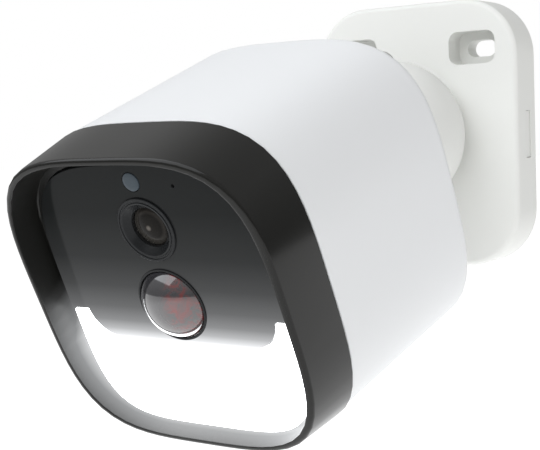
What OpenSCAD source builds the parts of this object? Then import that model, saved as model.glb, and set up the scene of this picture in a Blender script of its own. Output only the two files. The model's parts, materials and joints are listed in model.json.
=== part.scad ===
// Wall-mounted floodlight security camera.
// Frame: origin at the centre of the wall plate's back face, the wall lies in the plane y = 0,
// -Y points away from the wall, +Z up. Lengths are in millimetres.
// The head is drawn in its own frame (y = 0 at the front rim, +Y to its back) and then placed.

/* [Wall plate] */
// Width of the wall plate
plate_w = 70; // [64:1:80]
// Height of the wall plate
plate_h = 82; // [76:1:92]
// Depth of the wall plate, from the wall to its front face
plate_t = 13.4; // [12.5:0.1:16]
// Corner radius of the plate
plate_r = 17.5; // [12:0.5:20]
// Wall thickness of the plate
plate_wall = 3; // [2.4:0.2:3.6]
// Distance between the two screw slots
slot_pitch = 41; // [38:1:44]
// Height of the screw slots above the plate's centre
slot_z = 26.2; // [24:0.2:28]
// Width of a screw slot
slot_w = 5.2; // [4.4:0.1:5.6]
// End-to-end length of a screw slot
slot_l = 9.6; // [8:0.2:11]

/* [Mount joint] */
// Distance of the joint's centre from the wall
joint_y = 30; // [29.5:0.5:32]
// Radius of the round joint housing
dome_r = 23.2; // [22.8:0.1:24]
// Downward tilt of the head as it is placed
head_pitch = 25; // [-10:1:50]
// Highest upward tilt of the head
tilt_up = 15; // [5:1:15]
// Lowest downward tilt of the head
tilt_down = 55; // [40:1:55]
// Radius of the neck that joins the head to its mount
neck_r = 7; // [6:0.25:7.5]

/* [Head] */
// Width of the front rim
rim_w = 77; // [75:0.5:80]
// Height of the front rim
rim_h = 79.5; // [77:0.5:82]
// Width at the line between the dark hood and the pale body
seam_w = 77; // [75:0.5:80]
// Height at that line
seam_h = 84.5; // [83:0.5:86]
// Distance from the front rim to that line
hood_l = 18; // [17:0.5:20]
// Width of the back of the head
tail_w = 81; // [78:0.5:84]
// Height of the back of the head
tail_h = 88; // [86:0.5:90]
// Length of the head
head_l = 81; // [80:0.5:84]
// Wall thickness of the body
shell_t = 2.4; // [2:0.1:2.6]

/* [Face] */
// Depth of the dark front panel behind the rim, at the head's axis
face_depth = 6.6; // [6.2:0.1:7.4]
// Backward lean of the front panel
face_lean = 2; // [0:0.5:2]
// Height of the light sensor above the axis
sensor_z = 32; // [31:0.5:32]
// Height of the lens above the axis
lens_z = 19.8; // [19.4:0.1:20]
// Outer radius of the lens ring
lens_r = 8.3; // [8.1:0.1:8.6]
// Height of the motion sensor above the axis
pir_z = -0.4; // [-0.6:0.1:0.2]
// Outer radius of the ring round the motion sensor
pir_r = 9.8; // [9.4:0.1:9.9]
// Height of the lamp's straight upper edge
lamp_top = -11.4; // [-12:0.1:-11]
// Height of the tips of the lamp's upturned ends
horn_z = -3.6; // [-4:0.2:-2.6]

/* [Hidden] */

$fn = 48;
eps = 0.01;
gap = 0.4;                    // clearance between parts that move against each other
fit = 0.05;                   // radial clearance of a running fit
thin = 0.02;                  // thickness of the slices that a loft joins

pivot_y = 117;                // the joint's centre in the head's frame
pivot_z = -11.6;
rim_z = 2;                    // the rim's middle lies a little above the seam's
tail_z = -7.5;                // and the tail's a little below it
tail_round = 4.5;
rim_round = 1.5;
rim_n = 3.8;                  // squareness of each section: 2 is an ellipse, more is squarer
seam_n = 3.65;
tail_n = 3.45;
tongue_l = 4;                 // the hood's tongue inside the body
tongue_gap = 1.1;             // room for the seal between the tongue and the body
panel_t = 2;
lamp_w = 66.6;                // the lamp's outline follows the hood's, but squarer
lamp_h = 74.4;
lamp_n = 4.4;
lamp_mid = 1.8;
lamp_notch_w = 58;            // the wide notch in its upper edge
lamp_notch_r = 9;
lens_glass_r = 5;
lens_curve_r = 9;             // radius of the front lens's curved face
pir_lens_r = pir_r - 0.7;
pir_curve_r = 10.4;           // radius of the domed sensor lens
pir_curve_y = sqrt(pir_curve_r * pir_curve_r - pir_lens_r * pir_lens_r);
mic_x = 12;                   // the microphone's hole, beside the light sensor
mic_z = 31;
mic_r = 0.5;
sensor_r = 2.4;               // the light sensor's window
panel_in_w = 8.4;             // how much smaller the panel is than the rim
panel_in_h = 9;
foot_in_w = 4.6;              // and the hood's mouth beside the panel
foot_in_h = 4.8;

recess_w = 15.4;              // counterbore of a screw slot
recess_h = 10;
recess_d = 7.5;
notch_z = -0.8;               // cable knock-out in the plate's side
notch_h = 14.4;
notch_y0 = 6.8;
notch_y1 = 3.4;
gasket_in = 0.7;              // the seal lies in a groove this far in from the edge
gasket_w = 1.4;
gasket_t = 0.75;

dome_t = 2.8;
dome_y = -plate_t - gap;      // where the joint housing starts, in front of the plate
base_t = 3;                   // the housing's floor
post_r = 6;
pin_r = 3;
pin_l = 42;                   // pressed in from the left, the right end stays covered
hub_r = 6;                    // bosses inside the housing that hold the pin
hub_l = dome_r - 12;
knuckle_r = 8.5;
knuckle_w = 16;
washer_t = 1.2;               // the washer and the screw that hold the housing on its post
washer_r = 10;
clip_groove_r = 3.8;          // the spring clip on the spindle's inner end
clip_y0 = 68;
clip_y1 = 69.6;
spindle_r = 5;
shoulder_y = 84.2;            // the neck's shoulder, in the head's frame
shoulder_t = 3;
shoulder_r = 11;
bush_flange = 2.6;
bush_r = 9;
bush_in = 70;                 // the bushing's inner end
collar_r = 15;
collar_y0 = 82.6;
collar_y1 = 90;

led_board_w = 50;
led_board_z = -31;
led_pitch = 9;
led_row_pitch = 11;
led_board_y = 6.9;
chassis_y = 37;
chassis_t = 2;
board_back = chassis_y - 3.5; // the main board stands on short posts in front of the chassis
board_post_x = 20;
board_t = 1.6;
boss_x = 28;                  // the four screw columns in the body's corners
boss_z = 32;
boss_mid = -4.5;
boss_r = 3.6;
screw_r = 1.5;
screw_bore = 1.6;
screw_head_r = 2.9;
screw_head_h = 1.4;
counterbore_r = 3.2;
counterbore_d = 1.8;
speaker_y = 53;
speaker_r = 12;
cell_r = 9.1;
cell_l = 65;
cell_z = 2;
flap_w = 23.4;
flap_h = 11.4;
flap_z = 20;
flap_t = 2.2;
window_gap = 0.35;

// ---------- shared shapes ----------

function signed_pow(v, p) = sign(v) * pow(abs(v), p);

// A rounded square: a superellipse w wide and h tall, its middle at height zc
function rounded_square(w, h, n, zc, steps = 64) =
    [for (i = [0 : steps - 1]) let (a = i * 360 / steps)
        [w / 2 * signed_pow(cos(a), 2 / n), h / 2 * signed_pow(sin(a), 2 / n) + zc]];

// A value on the straight line between the seam and the tail, at depth y
function along(a, b, y) = a + (b - a) * (y - hood_l) / (head_l - tail_round - hood_l);

// The head's outer section at depth y, drawn in by inset: [w, h, n, zc]
function body_section(y, inset) =
    [along(seam_w, tail_w, y) - 2 * inset, along(seam_h, tail_h, y) - 2 * inset,
     along(seam_n, tail_n, y), along(0, tail_z, y)];

// Stands a flat drawing upright at depth y, and thickens it towards +Y
module upright(y, depth) {
    translate([0, y + depth, 0]) rotate([90, 0, 0]) linear_extrude(depth) children();
}

module slice(y, s) {
    upright(y, thin) polygon(rounded_square(s[0], s[1], s[2], s[3]));
}

module rounded_rect(w, h, r) {
    square([w - 2 * r, h], center = true);
    square([w, h - 2 * r], center = true);
    for (sx = [-1, 1], sz = [-1, 1])
        translate([sx * (w / 2 - r), sz * (h / 2 - r)]) circle(r);
}

module slot_2d(w, h) {
    square([w - h, h], center = true);
    for (sx = [-1, 1]) translate([sx * (w - h) / 2, 0]) circle(h / 2);
}

// A cylinder along Y, from y0 to y1
module rod_y(r, y0, y1) {
    translate([0, y1, 0]) rotate([90, 0, 0]) cylinder(r = r, h = y1 - y0);
}

module rod_x(r, w) {
    rotate([0, 90, 0]) cylinder(r = r, h = w, center = true);
}

module block(w, y0, y1, z0, z1) {
    translate([-w / 2, y0, z0]) cube([w, y1 - y0, z1 - z0]);
}

module place_head() {
    translate([0, -joint_y, 0]) rotate([head_pitch, 0, 0]) translate([0, -pivot_y, -pivot_z]) children();
}

// The face's own frame: y = 0 on the front panel's surface, leaned back with it
module place_face() {
    place_head() translate([0, face_depth, 0]) rotate([-face_lean, 0, 0]) children();
}

// ---------- wall mount ----------

module slot_recesses() {
    for (sx = [-1, 1]) translate([sx * slot_pitch / 2, 0, slot_z]) {
        upright(-plate_t - 1, recess_d + 1) rounded_rect(recess_w, recess_h, 3);
        upright(-plate_t, plate_t + 1) slot_2d(slot_l, slot_w);
    }
}

module wall_plate() {
    groove_outer = gasket_in - 0.1;
    groove_inner = gasket_in + gasket_w + 0.1;
    color("whitesmoke") difference() {
        upright(-plate_t, plate_t) rounded_rect(plate_w, plate_h, plate_r);
        upright(-plate_t + plate_wall + 1, plate_t) difference() {
            rounded_rect(plate_w - 2 * plate_wall, plate_h - 2 * plate_wall, plate_r - plate_wall);
            circle(14);
            for (sx = [-1, 1]) translate([sx * slot_pitch / 2, slot_z])
                square([recess_w + 4, recess_h + 4], center = true);
        }
        slot_recesses();
        translate([plate_w / 2 - plate_wall - 1, -notch_y0, notch_z - notch_h / 2])
            cube([plate_wall + 2, notch_y0 - notch_y1, notch_h]);
        rod_y(post_r, -plate_t - 1, -3);
        upright(-gasket_t - 0.05, 1) difference() {
            rounded_rect(plate_w - 2 * groove_outer, plate_h - 2 * groove_outer, plate_r - groove_outer);
            rounded_rect(plate_w - 2 * groove_inner, plate_h - 2 * groove_inner, plate_r - groove_inner);
        }
    }
}

module wall_gasket() {
    outer = gasket_in;
    inner = gasket_in + gasket_w;
    color("dimgray") upright(-gasket_t, gasket_t) difference() {
        rounded_rect(plate_w - 2 * outer, plate_h - 2 * outer, plate_r - outer);
        rounded_rect(plate_w - 2 * inner, plate_h - 2 * inner, plate_r - inner);
    }
}

// A plug in the plate's side, with a flange behind the wall
module cable_knockout() {
    side_gap = 0.15;
    flange = 1.3;
    inner_x = plate_w / 2 - plate_wall;
    color("gainsboro") translate([0, 0, notch_z]) {
        translate([inner_x - flange, -notch_y0 + side_gap, -notch_h / 2 + side_gap])
            cube([plate_wall + flange - 0.4, notch_y0 - notch_y1 - 2 * side_gap, notch_h - 2 * side_gap]);
        translate([inner_x - flange - 0.1, -notch_y0 - 1.2, -notch_h / 2 - 1.2])
            cube([flange, notch_y0 - notch_y1 + 2.4, notch_h + 2.4]);
    }
}

module swivel_post() {
    color("silver") difference() {
        rod_y(post_r - fit, dome_y - base_t - gap, -3);
        rod_y(1.9, dome_y - base_t - gap - 1, -6);
    }
}

module post_washer() {
    color("gray") difference() {
        rod_y(washer_r, dome_y - base_t - gap - washer_t, dome_y - base_t - gap);
        rod_y(2.1, dome_y - base_t - gap - 3, dome_y - base_t);
    }
}

module post_screw() {
    head_y = dome_y - base_t - gap - washer_t;
    color("silver") difference() {
        union() {
            rod_y(4, head_y - 1.8, head_y);
            rod_y(1.85, head_y - eps, -7);
        }
        upright(head_y - 3, 2.2) circle(1.6, $fn = 6);
    }
}

// ---------- swivelling joint housing ----------

// The path that the neck sweeps through the housing's wall
module neck_path() {
    margin = asin((neck_r + gap) / (dome_r - dome_t));
    reach = dome_r + 6;
    first = -tilt_up - margin;
    last = tilt_down + margin;
    steps = 9;
    points = concat([[0, 0]], [for (i = [0 : steps]) let (a = first + (last - first) * i / steps)
        [-reach * cos(a), -reach * sin(a)]]);
    translate([-neck_r - gap, -joint_y, 0]) rotate([90, 0, 90])
        linear_extrude(2 * (neck_r + gap)) polygon(points);
}

// Half of the housing's section: its wall and its floor, about the swivel axis
module dome_profile() {
    foot = -joint_y - dome_y;
    intersection() {
        difference() {
            circle(dome_r);
            intersection() {
                circle(dome_r - dome_t);
                translate([-50, foot + base_t]) square([100, 100]);
            }
        }
        translate([0, foot]) square([50, 100]);
    }
}

module swivel_dome() {
    color("white") difference() {
        translate([0, -joint_y, 0]) {
            rotate([90, 0, 0]) rotate_extrude() dome_profile();
            for (side = [-1, 1])
                translate([side * (knuckle_w / 2 + 2 + hub_l / 2), 0, 0]) rod_x(hub_r, hub_l);
        }
        rod_y(post_r, dome_y - base_t - 1, dome_y + 1);
        translate([-30 + pin_l / 2, -joint_y, 0]) rod_x(pin_r, 60);
        neck_path();
    }
}

module tilt_pin() {
    color("silver") translate([0, -joint_y, 0]) rod_x(pin_r - 0.01, pin_l - 0.1);
}

module pin_washers() {
    color("darkslategray") for (side = [-1, 1])
        translate([side * (knuckle_w / 2 + 1.05), -joint_y, 0]) difference() {
            rod_x(7, 1.3);
            rod_x(pin_r + fit, 3);
        }
}

// ---------- tilting arm ----------

module neck_rod(r, y0, y1) {
    place_head() translate([0, 0, pivot_z]) rod_y(r, y0, y1);
}

module tilt_arm() {
    color("dimgray") difference() {
        union() {
            translate([0, -joint_y, 0]) rod_x(knuckle_r, knuckle_w);
            neck_rod(neck_r, shoulder_y + 1, pivot_y);
            neck_rod(shoulder_r, shoulder_y, shoulder_y + shoulder_t);
            neck_rod(spindle_r, 67, shoulder_y + 1);
        }
        translate([0, -joint_y, 0]) rod_x(pin_r + fit, 40);
        neck_rod(2, 60, 76);
        neck_rod(spindle_r + 1, clip_y0, clip_y1 - eps);
    }
    color("dimgray") neck_rod(clip_groove_r, clip_y0 - 0.5, clip_y1 + 0.4);
}

module spindle_clip() {
    color("silver") difference() {
        neck_rod(spindle_r + 3, clip_y0 + 0.1, clip_y1 - 0.1);
        neck_rod(clip_groove_r, clip_y0 - 1, clip_y1 + 1.4);
        place_head() translate([0, 60, pivot_z - 2.4]) cube([20, 20, 4.8]);
    }
}

module lock_collar() {
    ridges = 24;
    color("white") difference() {
        neck_rod(collar_r, collar_y0, collar_y1);
        neck_rod(shoulder_r + 1 + gap, collar_y0 - 1, shoulder_y + shoulder_t + gap);
        neck_rod(neck_r + gap, collar_y0, collar_y1 + 1);
        place_head() translate([0, collar_y0 - 1, pivot_z]) for (i = [0 : ridges - 1])
            rotate([0, i * 360 / ridges, 0]) translate([collar_r + 0.5, 0, 0])
                rod_y(1, 0, collar_y1 - collar_y0 + 2);
    }
}

// ---------- head casing ----------

module hood_outside() {
    hull() {
        slice(0, [rim_w - 2 * rim_round, rim_h - 2 * rim_round, rim_n, rim_z]);
        slice(rim_round * 0.3, [rim_w - rim_round * 0.7, rim_h - rim_round * 0.7, rim_n, rim_z]);
        slice(rim_round, [rim_w, rim_h, rim_n, rim_z]);
        slice(hood_l - 0.1, [seam_w, seam_h, seam_n, 0]);
    }
}

module hood_inside() {
    hull() {
        slice(-1, [rim_w - 2 * rim_round - 0.2, rim_h - 2 * rim_round - 0.2, rim_n, rim_z]);
        slice(face_depth + 2, [rim_w - foot_in_w, rim_h - foot_in_h, rim_n, rim_z - 0.8]);
        slice(hood_l + tongue_l + 1, [seam_w - 11, seam_h - 13, seam_n, 0]);
    }
}

module hood_frame() {
    tongue = shell_t + tongue_gap;
    color("black") place_head() difference() {
        union() {
            hood_outside();
            hull() {
                slice(hood_l - 1, body_section(hood_l, tongue));
                slice(hood_l + tongue_l, body_section(hood_l + tongue_l, tongue));
            }
        }
        hood_inside();
    }
}

module speaker_holes() {
    for (dx = [-6 : 3 : 6], dy = [-6 : 3 : 6])
        if (dx * dx + dy * dy < 60)
            translate([dx, speaker_y + dy, -tail_h]) cylinder(r = 0.8, h = tail_h - 30, $fn = 8);
}

module column_places() {
    for (sx = [-1, 1], sz = [-1, 1]) translate([sx * boss_x, 0, sz * boss_z + boss_mid]) children();
}

module body_shell() {
    back = head_l - tail_round;
    color("white") place_head() {
        difference() {
            hull() {
                slice(hood_l + 0.15, body_section(hood_l, 0));
                for (a = [0 : 22.5 : 90])
                    slice(back + tail_round * sin(a) - thin, body_section(back, tail_round * (1 - cos(a))));
            }
            hull() {
                slice(hood_l - 1, body_section(hood_l, shell_t));
                slice(back - 0.5, body_section(back, shell_t));
                slice(head_l - shell_t, body_section(back, shell_t + 2.2));
            }
            speaker_holes();
            translate([0, 0, pivot_z]) rod_y(bush_r, head_l - 10, head_l + 5);
            block(flap_w + 2 * window_gap, head_l - 10, head_l + 5,
                  flap_z - flap_h / 2 - window_gap, flap_z + flap_h / 2 + window_gap);
            column_places() rod_y(counterbore_r, head_l - counterbore_d, head_l + 5);
            column_places() rod_y(screw_bore, chassis_y - 3, head_l);
        }
        column_places() difference() {
            rod_y(boss_r, chassis_y + chassis_t, head_l - shell_t + eps);
            rod_y(screw_bore, chassis_y, head_l);
        }
    }
}

module body_seal() {
    outer = shell_t + 0.12;
    inner = shell_t + tongue_gap - 0.12;
    color("black") place_head() difference() {
        hull() {
            slice(hood_l + 0.8, body_section(hood_l + 0.8, outer));
            slice(hood_l + 2.4, body_section(hood_l + 2.4, outer));
        }
        hull() {
            slice(hood_l - 1, body_section(hood_l - 1, inner));
            slice(hood_l + tongue_l, body_section(hood_l + tongue_l, inner));
        }
    }
}

// ---------- face ----------

module panel_outline() {
    polygon(rounded_square(rim_w - panel_in_w, rim_h - panel_in_h, rim_n, rim_z - 1));
}

module lamp_outline() {
    difference() {
        intersection() {
            polygon(rounded_square(lamp_w, lamp_h, lamp_n, lamp_mid));
            translate([-50, -60]) square([100, 60 + horn_z]);
        }
        translate([0, lamp_top + 30]) rounded_rect(lamp_notch_w, 60, lamp_notch_r);
    }
}

module front_panel() {
    color([0.1, 0.1, 0.12]) place_face() difference() {
        upright(0, panel_t) difference() {
            panel_outline();
            offset(delta = 0.3, $fn = 24) lamp_outline();
            translate([-50, lamp_top - 60.3]) square([100, 60]);
            for (sx = [-1, 1]) translate([sx * 42 - 10, horn_z - 20]) square([20, 20]);
        }
        translate([0, 0, sensor_z]) rod_y(sensor_r + 0.1, -1, 5);
        translate([0, 0, lens_z]) rod_y(lens_r - 1, -1, 5);
        translate([0, 0, pir_z]) rod_y(pir_lens_r + fit, -1, 5);
        translate([mic_x, 0, mic_z]) rod_y(mic_r, -1, 5);
    }
}

module panel_gasket() {
    color("black") place_face() difference() {
        upright(panel_t + 0.05, 1.2) intersection() {
            difference() {
                panel_outline();
                offset(delta = -3, $fn = 24) panel_outline();
            }
            translate([-50, lamp_top + 8]) square([100, 60]);
        }
        translate([0, 0, sensor_z]) rod_y(3.2, 0, 9);
        translate([mic_x, 0, mic_z]) rod_y(2.4, 0, 9);
    }
}

module lens_ring() {
    face_y = -0.5;
    groove_y = -0.35;
    color([0.16, 0.16, 0.17]) place_face() translate([0, 0, lens_z]) rotate([-90, 0, 0])
        rotate_extrude($fn = 96) polygon([
            [lens_glass_r + 0.1, 1.2], [lens_glass_r + 0.1, 0.9], [6.5, groove_y], [6.7, face_y],
            [7.1, face_y], [7.2, groove_y], [7.6, groove_y], [7.7, face_y],
            [lens_r - 0.2, face_y], [lens_r, face_y + 0.2], [lens_r, -0.05], [lens_r - 1.05, -0.05],
            [lens_r - 1.05, 2.6], [6.65, 2.6], [6.65, 1.2]]);
}

module lens_glass() {
    color([0.2, 0.2, 0.25]) place_face() translate([0, 0, lens_z]) rotate([-90, 0, 0])
        intersection() {
            translate([0, 0, lens_curve_r + 0.4]) sphere(lens_curve_r, $fn = 96);
            cylinder(r = lens_glass_r, h = 3, $fn = 96);
        }
}

module lens_barrel() {
    color("black") place_face() translate([0, 0, lens_z]) difference() {
        rod_y(6.4, 1.25, 14);
        rod_y(lens_glass_r + 0.1, 0, 3.1);
        rod_y(4.4, 0, 6);
        rod_y(3, 0, 20);
    }
}

module lens_rear_element() {
    color([0.5, 0.55, 0.7]) place_face() translate([0, 0, lens_z]) rod_y(2.9, 9, 12);
}

module filter_housing() {
    color([0.2, 0.2, 0.2]) place_face() translate([0, 0, lens_z]) difference() {
        block(24, 14.1, 18.6, -7, 7);
        block(20, 15.2, 17.4, -4.3, 4.3);
        rod_y(3, 13, 20);
    }
}

module ir_filter() {
    color([0.6, 0.75, 0.8]) place_face() translate([-2.4, 0, lens_z]) block(14, 15.7, 16.9, -3.8, 3.8);
}

module image_sensor() {
    color([0.25, 0.25, 0.3]) place_face() translate([0, 0, lens_z]) block(8, 18.7, 20, -3.4, 3.4);
}

module sensor_board() {
    color("darkgreen") place_face() translate([0, 0, lens_z]) block(26, 20.05, 21.3, -10, 10);
}

module light_sensor_window() {
    color([0.35, 0.4, 0.45]) place_face() translate([0, 0, sensor_z]) {
        rod_y(sensor_r, -0.1, 2.4);
        rod_y(sensor_r + 0.6, 2.4, 3.2);
    }
}

module light_sensor_chip() {
    color([0.15, 0.15, 0.15]) place_face() translate([0, 0, sensor_z]) {
        block(3.4, 3.3, 4.4, -1.7, 1.7);
        block(7, 4.45, 5.6, -2.2, 2.2);
    }
}

module pir_ring() {
    inner_r = pir_lens_r + fit;
    color([0.12, 0.12, 0.13]) place_face() translate([0, 0, pir_z]) rotate([-90, 0, 0])
        rotate_extrude($fn = 96) polygon([
            [inner_r, -0.3], [inner_r + 0.15, -0.45], [pir_r - 0.2, -0.45], [pir_r, -0.25],
            [pir_r, -0.05], [inner_r, -0.05]]);
}

// Half of the domed lens's section: a thin shell with a flange behind the panel
module pir_section() {
    wall = 1;
    flange_y = panel_t + 0.4;
    difference() {
        union() {
            intersection() {
                translate([0, pir_curve_y]) circle(pir_curve_r);
                translate([0, -20]) square([pir_lens_r, 20 + flange_y]);
            }
            translate([0, flange_y]) square([pir_lens_r + 1.1, wall]);
        }
        intersection() {
            translate([0, pir_curve_y]) circle(pir_curve_r - wall);
            translate([0, -20]) square([pir_lens_r - wall, 30]);
        }
    }
}

module pir_dome() {
    color([0.7, 0.72, 0.72, 0.6]) place_face() translate([0, 0, pir_z]) rotate([-90, 0, 0])
        rotate_extrude($fn = 96) pir_section();
}

module pir_can() {
    color("silver") place_face() translate([0, 0, pir_z]) {
        rod_y(4.1, 6, 9.9);
        rod_y(4.7, 9.3, 9.9);
    }
}

module pir_board() {
    color("darkgreen") place_face() translate([0, 0, pir_z]) block(22, 10, 11.2, -8, 8);
}

module lamp_diffuser() {
    color("white") place_face() {
        upright(-0.3, 0.4) offset(delta = -0.4, $fn = 24) lamp_outline();
        upright(0, 1.5) lamp_outline();
    }
}

module reflector_face() {
    intersection() {
        polygon(rounded_square(lamp_w - 2.6, lamp_h - 2.9, lamp_n, lamp_mid));
        translate([-50, -60]) square([100, 60 + lamp_top - 1]);
    }
}

// Two rows of six LEDs
module led_places() {
    for (i = [-2.5 : 1 : 2.5], k = [0, 1])
        translate([i * led_pitch, 0, lamp_top - 6.5 - k * led_row_pitch]) children();
}

module lamp_reflector() {
    color("white") place_face() difference() {
        upright(1.55, 5) reflector_face();
        upright(1, 4.6) offset(delta = -1.6, $fn = 24) reflector_face();
        led_places() block(5, 4, 8, -2.5, 2.5);
    }
}

module led_chips() {
    color([1, 0.95, 0.7]) place_face() led_places() block(3.4, 5.7, led_board_y - 0.05, -1.7, 1.7);
}

module led_board() {
    color("white") place_face() block(led_board_w, led_board_y, led_board_y + 1.4, led_board_z, lamp_top - 2);
}

module lamp_heatsink() {
    fins = 11;
    spread = led_board_w - 6;
    color("silver") place_face() {
        block(led_board_w - 4, led_board_y + 1.45, 10.8, led_board_z + 1, lamp_top - 3);
        for (i = [0 : fins - 1]) translate([-spread / 2 + i * spread / (fins - 1), 0, 0])
            block(1.4, 10.7, 22, led_board_z + 2, lamp_top - 4);
    }
}

// Two-wire lead from the lamp's board back to the main board
module lead_run(a, b, r) {
    hull() {
        translate(a) sphere(r, $fn = 10);
        translate(b) sphere(r, $fn = 10);
    }
}

module lamp_lead() {
    bends = [[31, 19, -12], [32, 26, -10], [30.5, 33, -6], [26.5, 36, -2]];
    color("firebrick") place_head() for (k = [0, 1]) translate([0, 0, k * 2.4])
        for (i = [0 : len(bends) - 2]) lead_run(bends[i], bends[i + 1], 0.9);
}

// ---------- inside the head ----------

module chassis() {
    color("darkgray") place_head() {
        difference() {
            upright(chassis_y, chassis_t) polygon(rounded_square(67, 76, 3.6, -3.2));
            block(34, chassis_y - 1, chassis_y + 4, -20, 12);
            column_places() rod_y(screw_bore, chassis_y - 2, chassis_y + 4);
            translate([26, 0, -1]) rod_y(4, chassis_y - 1, chassis_y + 4);
        }
        for (sx = [-1, 1], z = [-27, 24]) translate([sx * board_post_x, 0, z])
            difference() {
                rod_y(3, board_back, chassis_y + 1);
                rod_y(1, chassis_y - 5, chassis_y + 0.5);
            }
    }
}

module chassis_screws() {
    color("silver") place_head() column_places() difference() {
        union() {
            rod_y(screw_head_r, head_l - counterbore_d, head_l - counterbore_d + screw_head_h);
            rod_y(screw_r, chassis_y - 2, head_l - counterbore_d + eps);
        }
        rod_y(1.1, head_l - 1.2, head_l);
    }
}

module main_board() {
    color("darkgreen") place_head() difference() {
        block(56, board_back - board_t, board_back - 0.05, -32, 29);
        for (sx = [-1, 1], z = [-27, 24]) translate([sx * board_post_x, 0, z]) rod_y(1.1, 20, 50);
    }
}

module shield_cans() {
    front = board_back - board_t - 0.05;
    color("silver") place_head() {
        translate([-11, 0, 0]) block(22, front - 2.4, front, -7, 11);
        translate([13, 0, 0]) block(16, front - 2, front, -6, 6);
        translate([9, 0, 0]) block(14, front - 2, front, -29, -18);
    }
}

module antenna() {
    color("goldenrod") place_head() {
        block(30, 32.5, 33.3, 30, 36);
        translate([8, 0, 0]) block(2, 31.5, 32.6, 31, 34);
    }
}

module cell_places() {
    for (side = [-1, 1]) translate([0, 55, cell_z + side * 9.8]) children();
}

module battery_cells() {
    color("steelblue") place_head() cell_places() {
        rod_x(cell_r, cell_l);
        rod_x(3, cell_l + 0.8);
    }
}

module battery_holder() {
    color([0.2, 0.2, 0.22]) place_head() difference() {
        block(68.6, chassis_y + chassis_t + 0.1, 58, cell_z - 20.4, cell_z + 20.4);
        block(66.2, 44, 70, cell_z - 19.1, cell_z + 19.1);
        block(50, 36, 50, cell_z - 16, cell_z + 16);
    }
}

module speaker() {
    slope = atan2(tail_h / 2 - tail_z - seam_h / 2, head_l - tail_round - hood_l);
    floor_z = -(seam_h / 2 + (speaker_y - hood_l) * tan(slope)) + shell_t + 0.6;
    color([0.2, 0.2, 0.2]) place_head() translate([0, speaker_y, floor_z]) rotate([-slope, 0, 0]) {
        cylinder(r = speaker_r, h = 3);
        cylinder(r = speaker_r - 4, h = 7);
    }
}

module microphone() {
    color("goldenrod") place_face() translate([mic_x, 0, mic_z]) {
        rod_y(2, panel_t + 0.1, panel_t + 1.6);
        block(5, panel_t + 1.65, panel_t + 2.8, -2.2, 2.2);
    }
}

module spin_bushing() {
    color("dimgray") difference() {
        union() {
            neck_rod(shoulder_r + 1, head_l + 0.02, head_l + bush_flange);
            neck_rod(bush_r - 0.02, bush_in, head_l + 0.5);
        }
        neck_rod(spindle_r + fit, bush_in - 1, head_l + 5);
    }
}

module port_board() {
    color("darkgreen") place_head() block(21, 72.3, 73.5, flap_z - 5.2, flap_z + 5.2);
}

module usb_socket() {
    color("silver") place_head() translate([-4, 0, flap_z]) difference() {
        upright(73.55, 4.6) slot_2d(9.4, 3.6);
        upright(74.5, 4.6) difference() {
            slot_2d(8.4, 2.6);
            square([6.4, 0.7], center = true);
        }
    }
}

module reset_button() {
    color("firebrick") place_head() translate([6.5, 0, flap_z]) {
        rod_y(1.8, 75.4, 78);
        rod_y(2.4, 74.6, 75.4);
    }
}

// The flap's section: its upper edge is round, about the hinge's axis
module flap_section() {
    translate([head_l - flap_t, flap_z - flap_h / 2]) square([flap_t, flap_h - flap_t / 2]);
    translate([head_l - flap_t / 2, flap_z + flap_h / 2 - flap_t / 2]) circle(flap_t / 2);
}

module port_flap() {
    color("lightgray") place_head() {
        difference() {
            rotate([90, 0, 90]) linear_extrude(flap_w, center = true) flap_section();
            translate([0, head_l + 1.2, flap_z - flap_h / 2 + 2.4]) rod_x(1.7, 10);
        }
        block(17, head_l - flap_t - 0.2, head_l - flap_t + eps, flap_z + 2.6, flap_z + 3.6);
    }
}

wall_plate();
wall_gasket();
cable_knockout();
swivel_post();
post_washer();
post_screw();
swivel_dome();
tilt_pin();
pin_washers();
tilt_arm();
spindle_clip();
lock_collar();
hood_frame();
body_shell();
body_seal();
front_panel();
panel_gasket();
lens_ring();
lens_glass();
lens_barrel();
lens_rear_element();
filter_housing();
ir_filter();
image_sensor();
sensor_board();
light_sensor_window();
light_sensor_chip();
pir_ring();
pir_dome();
pir_can();
pir_board();
lamp_diffuser();
lamp_reflector();
led_board();
led_chips();
lamp_heatsink();
lamp_lead();
chassis();
chassis_screws();
main_board();
shield_cans();
antenna();
battery_cells();
battery_holder();
speaker();
microphone();
spin_bushing();
port_board();
usb_socket();
reset_button();
port_flap();
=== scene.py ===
import json
import math

import bpy
from mathutils import Matrix, Vector


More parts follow.
